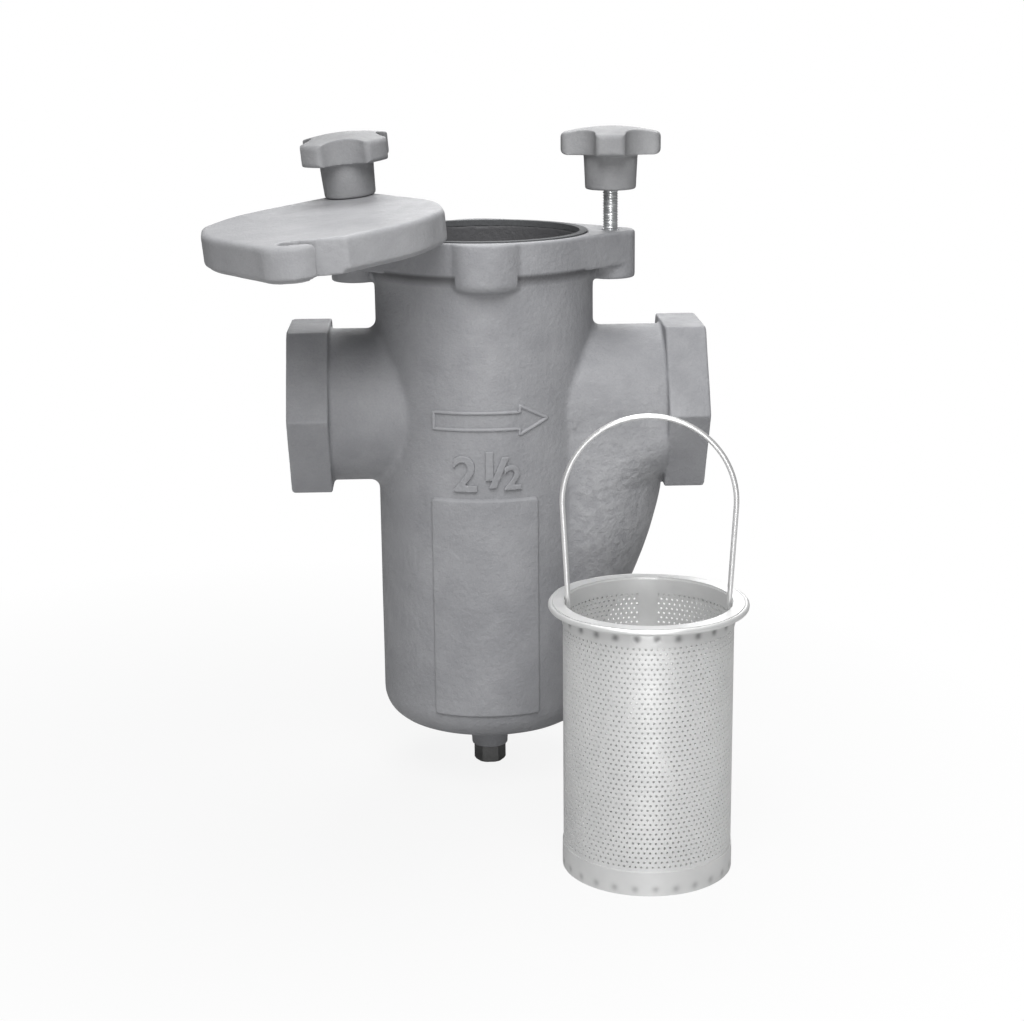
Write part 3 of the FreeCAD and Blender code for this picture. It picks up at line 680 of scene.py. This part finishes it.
# The drain plug is a dark hexagon-headed pipe plug screwed up into the bottom of the pot.
plug_iron = Finish("plug_iron")
scale_marks = plug_iron.cloud(180, 5, 0.65)
plug_iron.give(
    Base_Color=plug_iron.blend(scale_marks, (0.09, 0.09, 0.09), (0.21, 0.21, 0.208)),
    Roughness=plug_iron.remap(scale_marks, 0.3, 0.7, 0.42, 0.6), Metallic=0.4,
    Normal=plug_iron.dents(plug_iron.cloud(700, 3), 0.00015),
)
refinish("drain_plug", plug_iron.material)

# The basket's wall is perforated stainless sheet, 1.5 mm holes on 3.2 mm staggered centres, rolled
# and seamed at the back. One hole's cell is repeated in staggered rows and wrapped round.
steel = Finish("stainless_sheet")
brushed = steel.add("ShaderNodeMapping", None, Vector=steel.place, Scale=(90, 90, 1400)).outputs[0]
strokes = steel.add("ShaderNodeTexNoise", Vector=brushed, Scale=1.0, Detail=3.0).outputs["Fac"]
stains = steel.cloud(60, 4)
bright = steel.blend(stains, (0.70, 0.705, 0.705), (0.84, 0.84, 0.835))
weld_heat = steel.add("ShaderNodeAttribute", {"attribute_name": "weld"}).outputs["Fac"]
steel.give(
    Base_Color=steel.blend(weld_heat, bright, (0.16, 0.16, 0.165)),
    Roughness=steel.remap(strokes, 0.3, 0.7, 0.36, 0.5), Metallic=0.5,
    Normal=steel.dents(stains, 0.0004),
)
basket_centre = Vector((205 * mm, -166.9 * mm, 0))
basket_foot, basket_top = -236.2 * mm, -80.7 * mm
wall_radius, sheet = 47.5 * mm, 1.0 * mm
hole_radius = 0.74 * mm
columns, rows = 94, 47
pitch = 2 * math.pi * wall_radius / columns
row_pitch = 2.79 * mm
first_row = -220.8 * mm
last_row = first_row + rows * row_pitch
weld_distance = 0.02 * mm


def wrap_nodes(add, sum_of, place, radius, level):
    """Bends flat geometry, x along and y up, round an upright cylinder."""
    parts = add("ShaderNodeSeparateXYZ", None, {0: place}).outputs
    angle = sum_of("DIVIDE", parts[0], wall_radius)
    return add("ShaderNodeCombineXYZ", None, {
        0: sum_of("MULTIPLY", radius, sum_of("COSINE", angle)),
        1: sum_of("MULTIPLY", radius, sum_of("SINE", angle)),
        2: sum_of("ADD", parts[1], level),
    }).outputs[0]


def perforated_tree(material):
    sizes = {"Columns": "Int", "Rows": "Int", "Pitch": "Float", "Row Pitch": "Float", "Radius": "Float",
             "Level": "Float"}
    tree, given, add, sum_of, finish = node_tree("perforated_wall", sizes)
    number = add("GeometryNodeInputIndex").outputs[0]
    column = sum_of("MODULO", number, given["Columns"])
    row = sum_of("FLOOR", sum_of("DIVIDE", number, given["Columns"]))
    stagger = sum_of("MULTIPLY", sum_of("MODULO", row, 2.0), 0.5)
    spot = add("ShaderNodeCombineXYZ", None, {
        0: sum_of("MULTIPLY", sum_of("ADD", column, stagger), given["Pitch"]),
        1: sum_of("MULTIPLY", sum_of("ADD", row, 0.5), given["Row Pitch"]),
    }).outputs[0]
    spots = add("GeometryNodePoints", None, {
        "Count": sum_of("MULTIPLY", given["Columns"], given["Rows"]), "Position": spot,
    })
    cells = add("GeometryNodeInstanceOnPoints", None, {
        "Points": spots.outputs[0], "Instance": given["Geometry"],
    })
    flat = add("GeometryNodeRealizeInstances", None, {0: cells.outputs[0]})
    place = add("GeometryNodeInputPosition").outputs[0]
    bent = add("GeometryNodeSetPosition", None, {
        "Geometry": flat.outputs[0],
        "Position": wrap_nodes(add, sum_of, place, given["Radius"], given["Level"]),
    })
    welded = add("GeometryNodeMergeByDistance", None, {
        "Geometry": bent.outputs[0], "Distance": weld_distance,
    })
    finish(welded.outputs[0], material)
    return tree


def sheet_metal(piece, mesh, thickness, *nodes):
    """Gives a thin shell its thickness inwards, moves it to the basket's place and dresses it."""
    piece.data = mesh
    wall = piece.modifiers.new("thickness", "SOLIDIFY")
    wall.thickness = thickness
    wall.offset = -1
    thick = plain_mesh(piece)
    thick.transform(Matrix.Translation(basket_centre))
    dressed(piece, piece.name, thick, steel.material, "basket", "stainless_sheet", *nodes)
    thick.set_sharp_from_angle(angle=math.radians(40))


# The cell's border has six points, and the flattening sets the hole's six at nearly even turns.
border = [(-0.5, -0.5), (0, -0.5), (0.5, -0.5), (0.5, 0.5), (0, 0.5), (-0.5, 0.5)]
flattening = 0.62
cell_points = [(x * pitch, y * row_pitch, 0) for x, y in border]
for x, y in border:
    angle = math.atan2(y * flattening, x)
    cell_points.append((hole_radius * math.cos(angle), hole_radius * math.sin(angle), 0))
cell_faces = [(k, (k + 1) % 6, (k + 1) % 6 + 6, k + 6) for k in range(6)]
wall = new_piece("basket_wall", cell_points, cell_faces)
wall_mesh = grown(wall, perforated_tree(steel.material), {
    "Columns": columns, "Rows": rows, "Pitch": pitch, "Row Pitch": row_pitch, "Radius": wall_radius,
    "Level": first_row,
})
sheet_metal(wall, wall_mesh, sheet, "basket_shell")


# Plain margins of the sheet run behind the bands above and below the holes.
def plain_margin(name, foot, top):
    """A round strip of the wall's sheet without holes."""
    steps = 192
    points, faces = [], []
    for level in (foot, top):
        for step in range(steps):
            angle = 2 * math.pi * step / steps
            points.append((wall_radius * math.cos(angle), wall_radius * math.sin(angle), level))
    for step in range(steps):
        following = (step + 1) % steps
        faces.append((step, following, steps + following, steps + step))
    strip = new_piece(name, points, faces)
    sheet_metal(strip, strip.data, sheet)


foot_gap, flange_thickness = 0.1 * mm, 1.2 * mm
plain_margin("foot_margin", basket_foot + foot_gap, first_row)
plain_margin("top_margin", last_row, basket_top - flange_thickness)


# The two bands are thin stainless strips spot-welded round the wall; every weld leaves a dimple.
def dimpled_tree(material):
    sizes = {"Radius": "Float", "Level": "Float", "Height": "Float", "Spots": "Float",
             "Spot Level": "Float", "Spot Size": "Float", "Depth": "Float", "Heat": "Float"}
    tree, given, add, sum_of, finish = node_tree("dimpled_band", sizes)
    length = 2 * math.pi * wall_radius
    strip = add("GeometryNodeMeshGrid", None, {
        "Size X": length, "Size Y": given["Height"], "Vertices X": 520, "Vertices Y": 16,
    })
    place = add("GeometryNodeInputPosition").outputs[0]
    parts = add("ShaderNodeSeparateXYZ", None, {0: place}).outputs
    spacing = sum_of("DIVIDE", length, given["Spots"])
    along = sum_of("SUBTRACT", sum_of("MODULO", sum_of("ADD", parts[0], length), spacing),
                   sum_of("MULTIPLY", spacing, 0.5))
    up = sum_of("SUBTRACT", parts[1], given["Spot Level"])
    away = sum_of("ADD", sum_of("MULTIPLY", along, along), sum_of("MULTIPLY", up, up))
    size = sum_of("MULTIPLY", given["Spot Size"], given["Spot Size"])
    reach = sum_of("DIVIDE", away, size)
    pit = sum_of("EXPONENT", sum_of("MULTIPLY", reach, -1.0))
    collar = sum_of("EXPONENT", sum_of("MULTIPLY", reach, -0.25))
    dent = sum_of("MULTIPLY", given["Depth"], sum_of("SUBTRACT", sum_of("MULTIPLY", collar, 0.55), pit))
    radius = sum_of("ADD", given["Radius"], dent)
    heated = add("GeometryNodeStoreNamedAttribute", {"data_type": "FLOAT", "domain": "POINT"}, {
        "Geometry": strip.outputs[0], "Name": "weld", "Value": sum_of("MULTIPLY", pit, given["Heat"]),
    })
    bent = add("GeometryNodeSetPosition", None, {
        "Geometry": heated.outputs[0], "Position": wrap_nodes(add, sum_of, place, radius, given["Level"]),
    })
    welded = add("GeometryNodeMergeByDistance", None, {
        "Geometry": bent.outputs[0], "Distance": weld_distance,
    })
    finish(welded.outputs[0], material)
    return tree


band_tree = dimpled_tree(steel.material)
band_radius = 48.0 * mm
for name, node, foot, top, spot_level, spots, depth, heat in (
    ("top_band_dimpled", "basket_top_band", -92.6, -81.9, -1.0, 26, 0.4, 0.75),
    ("foot_band_dimpled", "basket_foot_band", -236.15, -222.2, -3.5, 26, 0.3, 0.4),
):
    band = new_piece(name)
    band_mesh = grown(band, band_tree, {
        "Radius": band_radius, "Level": (foot + top) / 2 * mm, "Height": (top - foot) * mm,
        "Spots": float(spots), "Spot Level": spot_level * mm, "Spot Size": 1.9 * mm, "Depth": depth * mm,
        "Heat": heat,
    })
    sheet_metal(band, band_mesh, 0.45 * mm, node)

# The flange that the basket hangs by is a flat ring, its outer edge rolled under into a round bead by
# hand, so that it is never quite round or flat. Its waves grow from the wall out to the bead.
ring_inner, bead_centre, bead, web_foot = 46.9, 54.4, 1.6, -1.2
flange_profile = [(ring_inner, web_foot), (bead_centre, web_foot), (bead_centre, -2 * bead)]
bead_steps, bead_wrap = 14, 1.45 * math.pi
for step in range(1, bead_steps):
    angle = -math.pi / 2 + bead_wrap * step / bead_steps
    flange_profile.append((bead_centre + bead * math.cos(angle), bead * math.sin(angle) - bead))
flange_profile += [(bead_centre - 1.2, 0.0), (ring_inner, 0.0)]
points, faces = [], []
steps, sides = 240, len(flange_profile)
wave_start, wave_run, pulled_in, sagged = 48.5, 7.5, 0.2, 0.35
for step in range(steps):
    angle = 2 * math.pi * step / steps
    wave = 0.22 * math.sin(3 * angle + 0.7) + 0.12 * math.sin(8 * angle) + 0.06 * math.sin(19 * angle + 2)
    for reach, level in flange_profile:
        share = max(0.0, (reach - wave_start) / wave_run)
        radius = (reach + (0.5 * wave - pulled_in) * share) * mm
        height = basket_top + (level + (wave - sagged) * share) * mm
        points.append((radius * math.cos(angle), radius * math.sin(angle), height))
for step in range(steps):
    for side in range(sides):
        here, there = step * sides, (step + 1) % steps * sides
        following = (side + 1) % sides
        faces.append((here + side, here + following, there + following, there + side))
flange = new_piece("flange_rolled", points, faces)
turned = bmesh.new()
turned.from_mesh(flange.data)
bmesh.ops.recalc_face_normals(turned, faces=turned.faces)
turned.transform(Matrix.Translation(basket_centre))
turned.to_mesh(flange.data)
turned.free()
dressed(flange, "flange_rolled", flange.data, steel.material, "basket", "stainless_sheet", "basket_flange")
flange.data.set_sharp_from_angle(angle=math.radians(50))


# The bottom is a perforated disc set in the wall, with holes of the same size in staggered rows.
def punched_disc_tree(material):
    sizes = {"Radius": "Float", "Hole": "Float", "Pitch": "Float", "Across": "Int", "Margin": "Float"}
    tree, given, add, sum_of, finish = node_tree("punched_disc", sizes)
    number = add("GeometryNodeInputIndex").outputs[0]
    column = sum_of("MODULO", number, given["Across"])
    row = sum_of("FLOOR", sum_of("DIVIDE", number, given["Across"]))
    middle = sum_of("DIVIDE", given["Across"], 2.0)
    stagger = sum_of("MULTIPLY", sum_of("MODULO", row, 2.0), 0.5)
    x = sum_of("MULTIPLY", sum_of("SUBTRACT", sum_of("ADD", column, stagger), middle), given["Pitch"])
    row_share = 0.866
    rows_away = sum_of("SUBTRACT", row, middle)
    y = sum_of("MULTIPLY", sum_of("MULTIPLY", rows_away, given["Pitch"]), row_share)
    spot = add("ShaderNodeCombineXYZ", None, {0: x, 1: y}).outputs[0]
    spots = add("GeometryNodePoints", None, {
        "Count": sum_of("MULTIPLY", given["Across"], given["Across"]), "Position": spot,
    })
    place = add("GeometryNodeInputPosition").outputs[0]
    reach = add("ShaderNodeVectorMath", {"operation": "LENGTH"}, {0: place}).outputs["Value"]
    outside = sum_of("GREATER_THAN", reach, sum_of("SUBTRACT", given["Radius"], given["Margin"]))
    kept = add("GeometryNodeDeleteGeometry", None, {"Geometry": spots.outputs[0], "Selection": outside})
    hole = add("GeometryNodeCurvePrimitiveCircle", None, {"Resolution": 8, "Radius": given["Hole"]})
    holes = add("GeometryNodeInstanceOnPoints", None, {
        "Points": kept.outputs[0], "Instance": hole.outputs[0],
    })
    rim = add("GeometryNodeCurvePrimitiveCircle", None, {"Resolution": 160, "Radius": given["Radius"]})
    lines = add("GeometryNodeJoinGeometry")
    tree.links.new(holes.outputs[0], lines.inputs[0])
    tree.links.new(rim.outputs[0], lines.inputs[0])
    flat = add("GeometryNodeRealizeInstances", None, {0: lines.outputs[0]})
    filled = add("GeometryNodeFillCurve", None, {0: flat.outputs[0]})
    finish(filled.outputs[0], material)
    return tree


disc_radius, disc_foot, disc_thickness = 46.4 * mm, -234.2 * mm, 1.2 * mm
bottom = new_piece("bottom_punched")
bottom_mesh = grown(bottom, punched_disc_tree(steel.material), {
    "Radius": disc_radius, "Hole": hole_radius, "Pitch": 3.2 * mm, "Across": 32, "Margin": 3.5 * mm,
})
bottom_mesh.transform(Matrix.Translation((0, 0, disc_foot + disc_thickness)))
sheet_metal(bottom, bottom_mesh, disc_thickness, "basket_bottom")

# The plain strip over the wall's seam, inside at the back, and the wire bail that lifts the basket.
refinish("basket_seam_strip", steel.material)
wire = Finish("stainless_wire")
drawn = wire.cloud(500, 3)
wire.give(
    Base_Color=wire.blend(drawn, (0.78, 0.78, 0.78), (0.88, 0.88, 0.88)),
    Roughness=wire.remap(drawn, 0.3, 0.7, 0.28, 0.4), Metallic=0.7,
    Normal=wire.dents(wire.cloud(900, 2), 0.00005),
)
refinish("basket_bail", wire.material)
